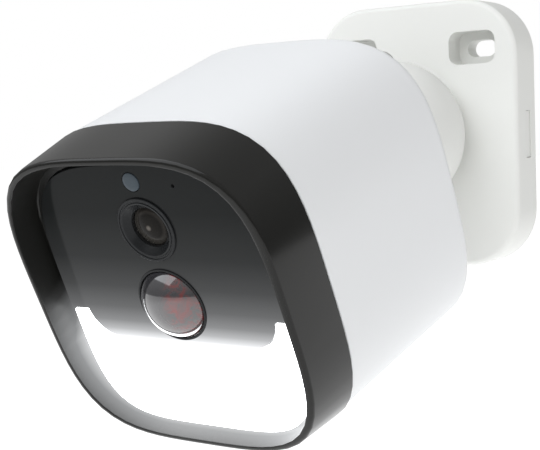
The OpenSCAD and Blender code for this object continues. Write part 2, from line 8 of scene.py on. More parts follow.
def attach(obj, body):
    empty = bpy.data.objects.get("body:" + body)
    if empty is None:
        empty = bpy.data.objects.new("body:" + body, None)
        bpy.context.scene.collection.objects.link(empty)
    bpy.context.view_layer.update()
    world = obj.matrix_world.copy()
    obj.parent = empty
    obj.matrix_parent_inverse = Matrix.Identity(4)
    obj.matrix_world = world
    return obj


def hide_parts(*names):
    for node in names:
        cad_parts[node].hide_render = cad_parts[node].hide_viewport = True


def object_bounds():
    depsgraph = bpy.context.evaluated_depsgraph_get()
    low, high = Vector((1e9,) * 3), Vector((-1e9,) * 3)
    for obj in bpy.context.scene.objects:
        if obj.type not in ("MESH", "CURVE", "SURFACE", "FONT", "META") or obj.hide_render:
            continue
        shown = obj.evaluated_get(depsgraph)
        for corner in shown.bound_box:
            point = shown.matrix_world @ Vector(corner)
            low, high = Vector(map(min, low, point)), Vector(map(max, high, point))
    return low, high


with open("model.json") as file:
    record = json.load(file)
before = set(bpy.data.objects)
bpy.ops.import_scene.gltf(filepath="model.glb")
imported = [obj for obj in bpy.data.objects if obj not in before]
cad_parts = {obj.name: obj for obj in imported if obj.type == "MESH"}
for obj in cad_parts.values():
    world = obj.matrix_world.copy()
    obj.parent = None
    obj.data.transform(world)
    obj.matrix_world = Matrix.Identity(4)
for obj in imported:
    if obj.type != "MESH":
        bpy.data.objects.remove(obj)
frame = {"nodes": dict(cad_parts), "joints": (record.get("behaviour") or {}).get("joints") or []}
cadLow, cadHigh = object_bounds()
scene = bpy.context.scene
print("frame loaded:", len(frame["nodes"]), "nodes")

mm = 0.001

cameraSettings = dict(azimuth=35.58, elevation=4.8, roll=-2.225, distance=0.39, lens=79.73,
                      lookAt=(-0.0431, -0.0336, -0.0275))


def makeCamera(s):
    camera = bpy.data.objects.new("camera", bpy.data.cameras.new("camera"))
    scene.collection.objects.link(camera)
    camera.data.lens = s["lens"]
    camera.data.sensor_width = 36
    camera.data.sensor_fit = "HORIZONTAL"
    camera.data.clip_start = 0.01
    turn = (Matrix.Rotation(math.radians(s["azimuth"]), 4, "Z")
            @ Matrix.Rotation(math.radians(90 - s["elevation"]), 4, "X")
            @ Matrix.Rotation(math.radians(s["roll"]), 4, "Z"))
    camera.matrix_world = Matrix.Translation(s["lookAt"]) @ turn @ Matrix.Translation((0, 0, s["distance"]))
    scene.camera = camera


makeCamera(cameraSettings)

joints = {j["name"]: j for j in frame["joints"]}

# The head's own frame: origin in the middle of its front rim, Y to its back, Z to its top
headSize = dict(length=81, spinDrop=11.6)
headBack = Vector(joints["head_spin"]["axis"]).normalized()
headTop = Vector((0, -headBack.z, headBack.y))
headOrigin = (Vector(joints["head_spin"]["pos_m"]) - headBack * headSize["length"] * mm
              + headTop * headSize["spinDrop"] * mm)
headPlace = Matrix.Translation(headOrigin) @ Matrix(((1, headBack.x, headTop.x, 0),
                                                     (0, headBack.y, headTop.y, 0),
                                                     (0, headBack.z, headTop.z, 0),
                                                     (0, 0, 0, 1)))
# The front panel leans back a little inside the hood
faceSettings = dict(depth=6.6, lean=2)
facePlace = (headPlace @ Matrix.Translation((0, faceSettings["depth"] * mm, 0))
             @ Matrix.Rotation(math.radians(-faceSettings["lean"]), 4, "X"))
# Heights of the round openings above the face's middle, and the microphone's place
sensorPlaces = dict(light=32, lens=19.8, pir=-0.4)
microphonePlace = (12, 31)
mountPlace = Matrix.Identity(4)
tiltPlace = Matrix.Translation(joints["head_tilt"]["pos_m"])


def deselectAll():
    if bpy.context.object and bpy.context.object.mode != "OBJECT":
        bpy.ops.object.mode_set(mode="OBJECT")
    bpy.ops.object.select_all(action="DESELECT")


def activate(piece):
    deselectAll()
    piece.select_set(True)
    bpy.context.view_layer.objects.active = piece


def startPlane():
    # a unit square that stands upright, facing along Y
    deselectAll()
    bpy.ops.mesh.primitive_plane_add(size=1, rotation=(math.radians(90), 0, 0))
    bpy.ops.object.transform_apply(location=False, rotation=True, scale=False)
    bpy.ops.object.mode_set(mode="EDIT")
    bpy.ops.mesh.select_mode(type="VERT")
    bpy.ops.mesh.select_all(action="SELECT")


def startSquare(width, height, middle, squareness, segments=18):
    # corners bevelled until they meet: a rounded square, more square as squareness grows
    startPlane()
    bpy.ops.mesh.bevel(offset=0.5, segments=segments, profile=0.25 ** (1 / squareness), affect="VERTICES")
    bpy.ops.mesh.select_all(action="SELECT")
    bpy.ops.mesh.remove_doubles(threshold=0.0001)
    bpy.ops.mesh.delete(type="ONLY_FACE")
    bpy.ops.mesh.select_all(action="SELECT")
    bpy.ops.transform.resize(value=(width * mm, 1, height * mm))
    bpy.ops.transform.translate(value=(0, 0, middle * mm))


def startRounded(width, height, middle, radius, segments=12):
    startPlane()
    bpy.ops.transform.resize(value=(width * mm, 1, height * mm))
    bpy.ops.mesh.bevel(offset=radius * mm, segments=segments, affect="VERTICES")
    bpy.ops.mesh.delete(type="ONLY_FACE")
    bpy.ops.mesh.select_all(action="SELECT")
    bpy.ops.transform.translate(value=(0, 0, middle * mm))


def startCircle(radius, middle, steps):
    deselectAll()
    bpy.ops.mesh.primitive_circle_add(vertices=steps, radius=radius * mm, rotation=(math.radians(90), 0, 0))
    bpy.ops.object.transform_apply(location=False, rotation=True, scale=False)
    bpy.ops.object.mode_set(mode="EDIT")
    bpy.ops.mesh.select_all(action="SELECT")
    bpy.ops.transform.translate(value=(0, 0, middle * mm))


def drawLoft(stations, close="caps"):
    # carries the selected outline through the stations, each (depth, width, height, middle)
    bpy.ops.mesh.select_mode(type="EDGE")
    bpy.ops.mesh.select_all(action="SELECT")
    depth, width, height, middle = stations[0]
    bpy.ops.transform.translate(value=(0, depth * mm, 0))
    for nextDepth, nextWidth, nextHeight, nextMiddle in stations[1:]:
        move = (0, (nextDepth - depth) * mm, (nextMiddle - middle) * mm)
        bpy.ops.mesh.extrude_edges_move(TRANSFORM_OT_translate={"value": move})
        bpy.ops.transform.resize(value=(nextWidth / width, 1, nextHeight / height))
        depth, width, height, middle = nextDepth, nextWidth, nextHeight, nextMiddle
    bpy.ops.mesh.select_all(action="DESELECT")
    if close == "ring":
        bpy.ops.mesh.select_non_manifold(extend=False)
        bpy.ops.mesh.bridge_edge_loops()
    bpy.ops.mesh.select_all(action="SELECT")
    if close == "caps":
        bpy.ops.mesh.fill_holes(sides=0)
        bpy.ops.mesh.select_all(action="SELECT")
    bpy.ops.mesh.normals_make_consistent(inside=False)
    bpy.ops.object.mode_set(mode="OBJECT")
    return bpy.context.active_object


def drawTurned(rings, middle, close="caps", steps=96):
    # a round piece about Y: rings are (depth, radius)
    startCircle(rings[0][1], middle, steps)
    return drawLoft([(depth, radius, radius, middle) for depth, radius in rings], close)


def arcRings(centreDepth, centreRadius, radius, fromAngle, toAngle, steps):
    # points of an arc for drawTurned: 0 degrees points to a smaller depth, 90 outwards
    turns = [math.radians(fromAngle + (toAngle - fromAngle) * i / steps) for i in range(steps + 1)]
    return [(centreDepth - radius * math.cos(t), centreRadius + radius * math.sin(t)) for t in turns]


def drawBlock(width, depth, height, at):
    # a box with its middle at that place, for cutting
    deselectAll()
    bpy.ops.mesh.primitive_cube_add(size=1, location=[v * mm for v in at],
                                    scale=(width * mm, depth * mm, height * mm))
    bpy.ops.object.transform_apply(location=True, rotation=False, scale=True)
    return bpy.context.active_object


def drawRod(radius, length, at, axis="Y", steps=64):
    turn = {"X": (0, math.radians(90), 0), "Y": (math.radians(90), 0, 0), "Z": (0, 0, 0)}[axis]
    deselectAll()
    bpy.ops.mesh.primitive_cylinder_add(vertices=steps, radius=radius * mm, depth=length * mm,
                                        location=[v * mm for v in at], rotation=turn)
    bpy.ops.object.transform_apply(location=True, rotation=True, scale=True)
    return bpy.context.active_object


def combine(piece, tools):
    # cuts each tool out of the piece
    for tool in tools:
        activate(piece)
        change = piece.modifiers.new("difference", "BOOLEAN")
        change.operation = "DIFFERENCE"
        change.solver = "EXACT"
        change.object = tool
        bpy.ops.object.modifier_apply(modifier=change.name)
        bpy.data.objects.remove(tool)
    return piece


def thicken(piece, thickness):
    activate(piece)
    wall = piece.modifiers.new("wall", "SOLIDIFY")
    wall.thickness = thickness * mm
    wall.offset = -1
    wall.use_even_offset = True
    bpy.ops.object.modifier_apply(modifier=wall.name)
    return piece


def softenEdges(piece, width, segments, angle):
    activate(piece)
    soft = piece.modifiers.new("edges", "BEVEL")
    soft.width = width * mm
    soft.segments = segments
    soft.limit_method = "ANGLE"
    soft.angle_limit = math.radians(angle)
    soft.harden_normals = False
    bpy.ops.object.modifier_apply(modifier=soft.name)
    return piece


def finishPiece(piece, name, place, body, material, replaced, smooth):
    activate(piece)
    piece.name = name
    piece.data.name = name
    piece.matrix_world = place @ piece.matrix_world
    bpy.ops.object.transform_apply(location=True, rotation=True, scale=True)
    bpy.ops.object.shade_smooth_by_angle(angle=math.radians(smooth))
    # keeps flat faces flat beside their rounded edges
    even = piece.modifiers.new("normals", "WEIGHTED_NORMAL")
    even.keep_sharp = True
    bpy.ops.object.modifier_apply(modifier=even.name)
    piece.data.materials.clear()
    piece.data.materials.append(material)
    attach(piece, body)
    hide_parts(*replaced)
    deselectAll()
    return piece


def newMaterial(name):
    material = bpy.data.materials.new(name)
    material.use_nodes = True
    nodes = material.node_tree.nodes
    return material, nodes, material.node_tree.links, nodes["Principled BSDF"]


def makeGrainGroup():
    # moulded plastic: fine grain, slow patches of gloss and faint handling marks
    group = bpy.data.node_groups.new("mouldedGrain", "ShaderNodeTree")
    for name, kind, value in (("Colour", "NodeSocketColor", (0.8, 0.8, 0.8, 1)), ("Tint", "NodeSocketFloat", 0.04),
                              ("Roughness", "NodeSocketFloat", 0.4), ("Patches", "NodeSocketFloat", 0.06),
                              ("Grain size", "NodeSocketFloat", 2600.0), ("Grain depth", "NodeSocketFloat", 0.1)):
        socket = group.interface.new_socket(name, in_out="INPUT", socket_type=kind)
        socket.default_value = value
    for name, kind in (("Colour", "NodeSocketColor"), ("Roughness", "NodeSocketFloat"),
                       ("Height", "NodeSocketFloat")):
        group.interface.new_socket(name, in_out="OUTPUT", socket_type=kind)
    nodes, links = group.nodes, group.links
    given = nodes.new("NodeGroupInput")
    result = nodes.new("NodeGroupOutput")
    place = nodes.new("ShaderNodeTexCoord")
    grain = nodes.new("ShaderNodeTexNoise")
    grain.inputs["Detail"].default_value = 3
    patches = nodes.new("ShaderNodeTexNoise")
    patches.inputs["Scale"].default_value = 38
    patches.inputs["Detail"].default_value = 4
    shade = nodes.new("ShaderNodeTexNoise")
    shade.inputs["Scale"].default_value = 14
    shade.inputs["Detail"].default_value = 2
    for texture in (grain, patches, shade):
        links.new(place.outputs["Object"], texture.inputs["Vector"])
    links.new(given.outputs["Grain size"], grain.inputs["Scale"])
    centred = nodes.new("ShaderNodeMath")
    centred.operation = "SUBTRACT"
    centred.inputs[1].default_value = 0.5
    links.new(patches.outputs["Fac"], centred.inputs[0])
    rough = nodes.new("ShaderNodeMath")
    rough.operation = "MULTIPLY_ADD"
    links.new(centred.outputs[0], rough.inputs[0])
    links.new(given.outputs["Patches"], rough.inputs[1])
    links.new(given.outputs["Roughness"], rough.inputs[2])
    links.new(rough.outputs[0], result.inputs["Roughness"])
    shift = nodes.new("ShaderNodeMath")
    shift.operation = "SUBTRACT"
    shift.inputs[1].default_value = 0.5
    links.new(shade.outputs["Fac"], shift.inputs[0])
    amount = nodes.new("ShaderNodeMath")
    amount.operation = "MULTIPLY_ADD"
    amount.inputs[2].default_value = 1
    links.new(shift.outputs[0], amount.inputs[0])
    links.new(given.outputs["Tint"], amount.inputs[1])
    tinted = nodes.new("ShaderNodeHueSaturation")
    links.new(given.outputs["Colour"], tinted.inputs["Color"])
    links.new(amount.outputs[0], tinted.inputs["Value"])
    links.new(tinted.outputs["Color"], result.inputs["Colour"])
    depth = nodes.new("ShaderNodeMath")
    depth.operation = "MULTIPLY"
    links.new(grain.outputs["Fac"], depth.inputs[0])
    links.new(given.outputs["Grain depth"], depth.inputs[1])
    links.new(depth.outputs[0], result.inputs["Height"])
    return group


grainGroup = makeGrainGroup()


def makePlastic(name, colour, roughness, tint=0.04, patches=0.06, grainDepth=0.1, bump=0.05, coat=0,
                specular=0.5, metallic=0):
    material, nodes, links, shader = newMaterial(name)
    grain = nodes.new("ShaderNodeGroup")
    grain.node_tree = grainGroup
    grain.inputs["Colour"].default_value = (*colour, 1)
    grain.inputs["Tint"].default_value = tint
    grain.inputs["Roughness"].default_value = roughness
    grain.inputs["Patches"].default_value = patches
    grain.inputs["Grain depth"].default_value = grainDepth
    surface = nodes.new("ShaderNodeBump")
    surface.inputs["Strength"].default_value = bump
    surface.inputs["Distance"].default_value = 0.0002
    links.new(grain.outputs["Colour"], shader.inputs["Base Color"])
    links.new(grain.outputs["Roughness"], shader.inputs["Roughness"])
    links.new(grain.outputs["Height"], surface.inputs["Height"])
    links.new(surface.outputs["Normal"], shader.inputs["Normal"])
    shader.inputs["Metallic"].default_value = metallic
    shader.inputs["Specular IOR Level"].default_value = specular
    shader.inputs["Coat Weight"].default_value = coat
    shader.inputs["Coat Roughness"].default_value = 0.08
    return material


def roughenInside(material, more):
    # more roughness, and the lamp's light, where the mesh's own masks say so
    nodes, links = material.node_tree.nodes, material.node_tree.links
    shader = nodes["Principled BSDF"]
    mark = nodes.new("ShaderNodeAttribute")
    mark.attribute_name = "inside"
    add = nodes.new("ShaderNodeMath")
    add.operation = "MULTIPLY_ADD"
    add.inputs[1].default_value = more
    links.new(mark.outputs["Fac"], add.inputs[0])
    links.new(shader.inputs["Roughness"].links[0].from_socket, add.inputs[2])
    links.new(add.outputs[0], shader.inputs["Roughness"])
    glow = nodes.new("ShaderNodeAttribute")
    glow.attribute_name = "lampGlow"
    ramp = nodes.new("ShaderNodeValToRGB")
    ramp.color_ramp.elements[0].color = (0, 0, 0, 1)
    ramp.color_ramp.elements[1].color = (0.75, 0.76, 0.77, 1)
    middle = ramp.color_ramp.elements.new(0.55)
    middle.color = (0.2, 0.205, 0.21, 1)
    links.new(glow.outputs["Fac"], ramp.inputs["Fac"])
    links.new(ramp.outputs["Color"], shader.inputs["Emission Color"])
    shader.inputs["Emission Strength"].default_value = 1


def makeGlass(name, colour, roughness, alpha):
    material, nodes, links, shader = newMaterial(name)
    grain = nodes.new("ShaderNodeGroup")
    grain.node_tree = grainGroup
    grain.inputs["Colour"].default_value = (*colour, 1)
    grain.inputs["Roughness"].default_value = roughness
    grain.inputs["Patches"].default_value = 0.03
    links.new(grain.outputs["Colour"], shader.inputs["Base Color"])
    links.new(grain.outputs["Roughness"], shader.inputs["Roughness"])
    shader.inputs["Alpha"].default_value = alpha
    return material


def localVector(nodes, links, place):
    # object coordinates, measured from that place on the object at rest
    coordinates = nodes.new("ShaderNodeTexCoord")
    turned = nodes.new("ShaderNodeMapping")
    turned.vector_type = "TEXTURE"
    turned.inputs["Location"].default_value = place.to_translation()
    turned.inputs["Rotation"].default_value = place.to_euler()
    links.new(coordinates.outputs["Object"], turned.inputs["Vector"])
    return turned.outputs["Vector"]


def addGlow(material, place, edges):
    # light that leaks from the lamp along the surface: edges are (height on the face, brightness)
    nodes, links = material.node_tree.nodes, material.node_tree.links
    shader = nodes["Principled BSDF"]
    apart = nodes.new("ShaderNodeSeparateXYZ")
    reach = nodes.new("ShaderNodeMapRange")
    reach.inputs["From Min"].default_value = edges[0][0] * mm
    reach.inputs["From Max"].default_value = edges[-1][0] * mm
    ramp = nodes.new("ShaderNodeValToRGB")
    span = edges[-1][0] - edges[0][0]
    stops = ramp.color_ramp.elements
    for i, (height, level) in enumerate(edges):
        stop = stops[i] if i < 2 else stops.new(1)
        stop.position = (height - edges[0][0]) / span
        stop.color = (level * 0.97, level * 0.98, level, 1)
    links.new(localVector(nodes, links, place), apart.inputs["Vector"])
    links.new(apart.outputs["Z"], reach.inputs["Value"])
    links.new(reach.outputs["Result"], ramp.inputs["Fac"])
    links.new(ramp.outputs["Color"], shader.inputs["Emission Color"])
    shader.inputs["Emission Strength"].default_value = 1


def makeLensMaterial(place):
    # dark coated glass: a painted pale crescent of the lit barrel low on its left, a painted glint in the middle
    material, nodes, links, shader = newMaterial("frontLens")
    local = localVector(nodes, links, place)

    def distanceFrom(x, z, near, far):
        away = nodes.new("ShaderNodeVectorMath")
        away.operation = "DISTANCE"
        away.inputs[1].default_value = (x * mm, 1.5 * mm, z * mm)
        spread = nodes.new("ShaderNodeMapRange")
        spread.inputs["From Min"].default_value = near * mm
        spread.inputs["From Max"].default_value = far * mm
        links.new(local, away.inputs[0])
        links.new(away.outputs["Value"], spread.inputs["Value"])
        return spread.outputs["Result"]

    # painted glint in the middle, then dark glass with a faint paler ring
    rings = nodes.new("ShaderNodeValToRGB")
    shades = [(0, 0.2), (0.1, 0.012), (0.55, 0.01), (0.7, 0.03), (0.8, 0.012), (1, 0.025)]
    for i, (position, level) in enumerate(shades):
        stop = rings.color_ramp.elements[i] if i < 2 else rings.color_ramp.elements.new(position)
        stop.position = position
        stop.color = (level, level * 0.9, level * 0.8, 1)
    links.new(distanceFrom(0.2, 0.1, 0.9, 5.2), rings.inputs["Fac"])
    # painted light: the pale crescent of the lit barrel, low on the glass's left
    crescent = nodes.new("ShaderNodeMix")
    crescent.data_type = "RGBA"
    crescent.inputs["B"].default_value = (0.03, 0.028, 0.025, 1)
    links.new(distanceFrom(1.6, 1.5, 4.1, 4.6), crescent.inputs["Factor"])
    links.new(rings.outputs["Color"], crescent.inputs["A"])
    links.new(crescent.outputs["Result"], shader.inputs["Base Color"])
    shader.inputs["Roughness"].default_value = 0.05
    shader.inputs["Specular IOR Level"].default_value = 0.06
    return material


def makePirMaterial(place):
    # clear domed lens over dark facets, painted lighter towards its bottom beside the lamp, with painted red glints
    # on the facets of its right side
    material, nodes, links, shader = newMaterial("pirLens")
    local = localVector(nodes, links, place)
    facets = nodes.new("ShaderNodeTexNoise")
    facets.inputs["Scale"].default_value = 330
    facets.inputs["Detail"].default_value = 3
    facets.inputs["Distortion"].default_value = 1.6
    apart = nodes.new("ShaderNodeSeparateXYZ")
    side = nodes.new("ShaderNodeMapRange")
    side.inputs["From Min"].default_value = 0.0008
    side.inputs["From Max"].default_value = 0.0042
    side.interpolation_type = "SMOOTHSTEP"
    # painted red glints: bright facets, only on the dome's right side
    glints = nodes.new("ShaderNodeMapRange")
    glints.inputs["From Min"].default_value = 0.42
    glints.inputs["From Max"].default_value = 0.68
    mask = nodes.new("ShaderNodeMath")
    mask.operation = "MULTIPLY"
    # painted light and shade: the dome lighter towards its bottom, by the lamp, darker towards its top
    shade = nodes.new("ShaderNodeMapRange")
    shade.inputs["From Min"].default_value = -0.008
    shade.inputs["From Max"].default_value = 0.008
    ramp = nodes.new("ShaderNodeValToRGB")
    ramp.color_ramp.elements[0].color = (0.075, 0.07, 0.07, 1)
    ramp.color_ramp.elements[1].color = (0.03, 0.03, 0.034, 1)
    tint = nodes.new("ShaderNodeMix")
    tint.data_type = "RGBA"
    tint.inputs["B"].default_value = (0.16, 0.02, 0.02, 1)
    relief = nodes.new("ShaderNodeBump")
    relief.inputs["Strength"].default_value = 0.12
    relief.inputs["Distance"].default_value = 0.0001
    links.new(local, apart.inputs["Vector"])
    links.new(local, facets.inputs["Vector"])
    links.new(apart.outputs["X"], side.inputs["Value"])
    links.new(facets.outputs["Fac"], glints.inputs["Value"])
    links.new(side.outputs["Result"], mask.inputs[0])
    links.new(glints.outputs["Result"], mask.inputs[1])
    links.new(apart.outputs["Z"], shade.inputs["Value"])
    links.new(shade.outputs["Result"], ramp.inputs["Fac"])
    links.new(ramp.outputs["Color"], tint.inputs["A"])
    links.new(mask.outputs[0], tint.inputs["Factor"])
    links.new(tint.outputs["Result"], shader.inputs["Base Color"])
    links.new(facets.outputs["Fac"], relief.inputs["Height"])
    links.new(relief.outputs["Normal"], shader.inputs["Normal"])
    shader.inputs["Roughness"].default_value = 0.12
    shader.inputs["Coat Weight"].default_value = 1
    shader.inputs["Coat IOR"].default_value = 1.7
    shader.inputs["Coat Roughness"].default_value = 0.03
    return material


def makeLampMaterial(strength):
    # opal plastic lit from behind, a little brighter in soft patches
    material, nodes, links, shader = newMaterial("litDiffuser")
    place = nodes.new("ShaderNodeTexCoord")
    cloud = nodes.new("ShaderNodeTexNoise")
    cloud.inputs["Scale"].default_value = 30
    links.new(place.outputs["Object"], cloud.inputs["Vector"])
    ramp = nodes.new("ShaderNodeValToRGB")
    ramp.color_ramp.elements[0].color = (0.93, 0.96, 1, 1)
    ramp.color_ramp.elements[1].color = (1, 1, 1, 1)
    links.new(cloud.outputs["Fac"], ramp.inputs["Fac"])
    links.new(ramp.outputs["Color"], shader.inputs["Emission Color"])
    links.new(ramp.outputs["Color"], shader.inputs["Base Color"])
    shader.inputs["Emission Strength"].default_value = strength
    shader.inputs["Roughness"].default_value = 0.35
    return material


print("materials")
whitePlastic = makePlastic("whitePlastic", (0.80, 0.81, 0.82), 0.42, tint=0.02, bump=0.06, grainDepth=0.2)
mountPlastic = makePlastic("mountPlastic", (0.77, 0.775, 0.75), 0.48, tint=0.02, bump=0.07, grainDepth=0.25)
hoodGloss = makePlastic("hoodGloss", (0.009, 0.009, 0.008), 0.14, tint=0.2, patches=0.06, bump=0.012, specular=0.28)
panelGloss = makePlastic("panelGloss", (0.011, 0.012, 0.012), 0.1, tint=0.15, patches=0.05, bump=0.008, specular=0.06)
roughenInside(hoodGloss, 0.24)
lampLight = [(-11.4, 1.3), (-10.2, 0.85), (-8.5, 0.5), (-6, 0.26), (-2, 0.13), (4, 0.055), (12, 0.018), (24, 0.002)]
addGlow(panelGloss, facePlace, lampLight)
blackMatte = makePlastic("blackMatte", (0.014, 0.014, 0.014), 0.6, tint=0.2, bump=0.15, grainDepth=0.4)
ringGrey = makePlastic("ringGrey", (0.012, 0.013, 0.014), 0.26, tint=0.15, bump=0.03, specular=0.15)
darkGrey = makePlastic("darkGrey", (0.07, 0.07, 0.075), 0.45, tint=0.1, bump=0.1, grainDepth=0.3)
softRubber = makePlastic("softRubber", (0.62, 0.62, 0.61), 0.7, tint=0.05, bump=0.2, grainDepth=0.5, specular=0.3)
blackRubber = makePlastic("blackRubber", (0.016, 0.016, 0.016), 0.75, tint=0.2, bump=0.25, grainDepth=0.6)
windowGrey = makePlastic("windowGrey", (0.04, 0.055, 0.068), 0.25, tint=0.05, specular=0.2)
frontLens = makeLensMaterial(facePlace @ Matrix.Translation((0, 0, sensorPlaces["lens"] * mm)))
pirPlastic = makePirMaterial(facePlace @ Matrix.Translation((0, 0, sensorPlaces["pir"] * mm)))
zincSteel = makePlastic("zincSteel", (0.62, 0.62, 0.6), 0.3, metallic=1, tint=0.08, patches=0.15, bump=0.1)
castMetal = makePlastic("castMetal", (0.6, 0.6, 0.62), 0.38, metallic=1, tint=0.06, patches=0.1, bump=0.2)
goldContact = makePlastic("goldContact", (0.8, 0.6, 0.25), 0.25, metallic=1, tint=0.08)
boardGreen = makePlastic("boardGreen", (0.02, 0.12, 0.06), 0.35, tint=0.2, coat=0.3)
chipBlack = makePlastic("chipBlack", (0.02, 0.02, 0.022), 0.5, tint=0.2)
redWire = makePlastic("redWire", (0.42, 0.03, 0.025), 0.45, tint=0.1)
cellWrap = makePlastic("cellWrap", (0.05, 0.16, 0.3), 0.25, tint=0.1, coat=0.4)
reflectorWhite = makePlastic("reflectorWhite", (0.85, 0.85, 0.85), 0.25, tint=0.03)
ledYellow = makePlastic("ledYellow", (0.9, 0.75, 0.3), 0.35, tint=0.05)
lensCoat = makePlastic("lensCoat", (0.016, 0.013, 0.011), 0.04,
                       tint=0.1, patches=0.02, bump=0, specular=0.4, coat=0.25)
filterGlass = makeGlass("filterGlass", (0.45, 0.7, 0.75), 0.05, 0.5)
litDiffuser = makeLampMaterial(4)

hoodPiece = dict(rimWidth=77, rimHeight=79.5, rimMiddle=2, seamWidth=77, seamHeight=84.5, length=17.85,
                 round=1.2, lip=1.6, lipRound=0.4, footDepth=8.6, footWidth=72.4, footHeight=74.7,
                 footMiddle=1.2, squareness=3.7, innerFrom=11, glowTop=2, glowFade=16)


def roundedStations(depth, width, height, middle, radius, fromAngle, toAngle, steps=6):
    # a rounded edge as stations: 0 degrees faces a smaller depth, 90 outwards, 180 a larger depth
    stations = []
    for i in range(steps + 1):
        turn = math.radians(fromAngle + (toAngle - fromAngle) * i / steps)
        grow = 2 * radius * (math.sin(turn) - 1)
        stations.append((depth - radius * math.cos(turn), width + grow, height + grow, middle))
    return stations


def makeHood(h):
    startSquare(h["seamWidth"] - 0.5, h["seamHeight"] - 0.5, 0, h["squareness"])
    stations = [(h["length"], h["seamWidth"] - 0.5, h["seamHeight"] - 0.5, 0)]
    stations += [(h["length"] - 0.3, h["seamWidth"], h["seamHeight"], 0)]
    stations += roundedStations(h["round"], h["rimWidth"], h["rimHeight"], h["rimMiddle"], h["round"], 90, 0)
    innerWidth, innerHeight = h["rimWidth"] - 2 * h["lip"], h["rimHeight"] - 2 * h["lip"]
    edge = h["lipRound"]
    stations += [(edge * 0.07, innerWidth + edge * 0.8, innerHeight + edge * 0.8, h["rimMiddle"]),
                 (edge * 0.4, innerWidth + edge * 0.2, innerHeight + edge * 0.2, h["rimMiddle"]),
                 (edge, innerWidth, innerHeight, h["rimMiddle"])]
    stations += [(h["footDepth"] - 0.3, h["footWidth"], h["footHeight"], h["footMiddle"]),
                 (h["footDepth"], h["footWidth"] - 0.6, h["footHeight"] - 0.6, h["footMiddle"]),
                 (h["footDepth"], h["footWidth"] - 3.4, h["footHeight"] - 3.4, h["footMiddle"]),
                 (h["footDepth"] + 0.8, h["footWidth"] - 3.4, h["footHeight"] - 3.4, h["footMiddle"]),
                 (h["footDepth"] + 0.8, h["footWidth"] - 2, h["footHeight"] - 2, h["footMiddle"]),
                 (h["length"], h["seamWidth"] - 9.4, h["seamHeight"] - 10, 0),
                 (h["length"] + 4, h["seamWidth"] - 9.4, h["seamHeight"] - 10, 0),
                 (h["length"] + 4, h["seamWidth"] - 7.2, h["seamHeight"] - 7.2, -0.4),
                 (h["length"], h["seamWidth"] - 7.2, h["seamHeight"] - 7.2, 0)]
    hood = drawLoft(stations, "ring")
    # masks on the mesh: the less polished inner walls, and how much of the lamp's light reaches them
    ringSize = len(hood.data.vertices) // len(stations)
    inside = hood.data.attributes.new("inside", "FLOAT", "POINT")
    lampGlow = hood.data.attributes.new("lampGlow", "FLOAT", "POINT")
    for vertex in hood.data.vertices:
        inner = vertex.index // ringSize >= h["innerFrom"]
        low = min(1, max(0, (h["glowTop"] - vertex.co.z / mm) / h["glowFade"]))
        deep = min(1, max(0, vertex.co.y / mm / h["footDepth"]))
        inside.data[vertex.index].value = 1 if inner else 0
        lampGlow.data[vertex.index].value = low * (0.12 + 0.88 * deep) if inner else 0
    return finishPiece(hood, "hoodFrame", headPlace, "head", hoodGloss, ["hood_frame"], 40)


shellPiece = dict(front=18.1, seamWidth=77, seamHeight=84.5, tailWidth=81, tailHeight=88, tailMiddle=-7.5,
                  length=81, round=4.5, wall=2.4, squareness=3.55, frontEdge=0.35)


def makeShell(s):
    bevelStart = s["length"] - s["round"]
    edge = s["frontEdge"]
    stations = [(s["front"], s["seamWidth"] - 2 * edge, s["seamHeight"] - 2 * edge, 0),
                (s["front"] + edge * 0.3, s["seamWidth"] - 0.6 * edge, s["seamHeight"] - 0.6 * edge, 0),
                (s["front"] + edge, s["seamWidth"], s["seamHeight"], 0)]
    tail = roundedStations(bevelStart, s["tailWidth"], s["tailHeight"], s["tailMiddle"], s["round"], 90, 180, 8)
    startSquare(stations[0][1], stations[0][2], 0, s["squareness"])
    shell = drawLoft(stations + tail, "none")
    activate(shell)
    bpy.ops.object.mode_set(mode="EDIT")
    bpy.ops.mesh.select_mode(type="EDGE")
    bpy.ops.mesh.select_all(action="DESELECT")
    bpy.ops.object.mode_set(mode="OBJECT")
    for side in shell.data.edges:
        side.select = all(abs(shell.data.vertices[v].co.y - s["length"] * mm) < 1e-5 for v in side.vertices)
    bpy.ops.object.mode_set(mode="EDIT")
    bpy.ops.mesh.edge_face_add()
    bpy.ops.mesh.select_all(action="SELECT")
    bpy.ops.mesh.normals_make_consistent(inside=False)
    bpy.ops.object.mode_set(mode="OBJECT")
    thicken(shell, s["wall"])
    return shell


openings = dict(spindleRadius=9, flapWidth=24.1, flapHeight=12.1, flapMiddle=20, screwAcross=28, screwUp=32,
                screwMiddle=-4.5, counterbore=3.2, speakerDepth=53, speakerHole=0.8)


def cutShell(shell, o):
    back = shellPiece["length"]
    tools = [drawRod(o["spindleRadius"], 12, (0, back, -headSize["spinDrop"])),
             drawBlock(o["flapWidth"], 12, o["flapHeight"], (0, back, o["flapMiddle"]))]
    for side in (-1, 1):
        for up in (-1, 1):
            at = (side * o["screwAcross"], back, up * o["screwUp"] + o["screwMiddle"])
            tools.append(drawRod(o["counterbore"], 3.6, at, steps=48))
    for across in range(-6, 7, 3):
        for along in range(-6, 7, 3):
            if across ** 2 + along ** 2 < 60:
                at = (across, o["speakerDepth"] + along, -46)
                tools.append(drawRod(o["speakerHole"], 12, at, "Z", 16))
    combine(shell, tools)
    softenEdges(shell, 0.12, 1, 50)
    return finishPiece(shell, "bodyShell", headPlace, "head", whitePlastic, ["body_shell"], 30)


print("head casing")
makeHood(hoodPiece)
cutShell(makeShell(shellPiece), openings)

panelPiece = dict(width=68.6, height=70.5, middle=1, thickness=2, squareness=3.8, edge=0.25, lampGap=0.3,
                  lightHole=2.5, lensHole=7.3, pirHole=9.15, microphoneHole=0.45)
lampPiece = dict(width=66.6, height=74.4, middle=1.8, squareness=4.4, top=-11.4, hornTip=-3.6, notchWidth=58,
                 notchRadius=9, front=-0.3, back=1.4, edge=0.3)

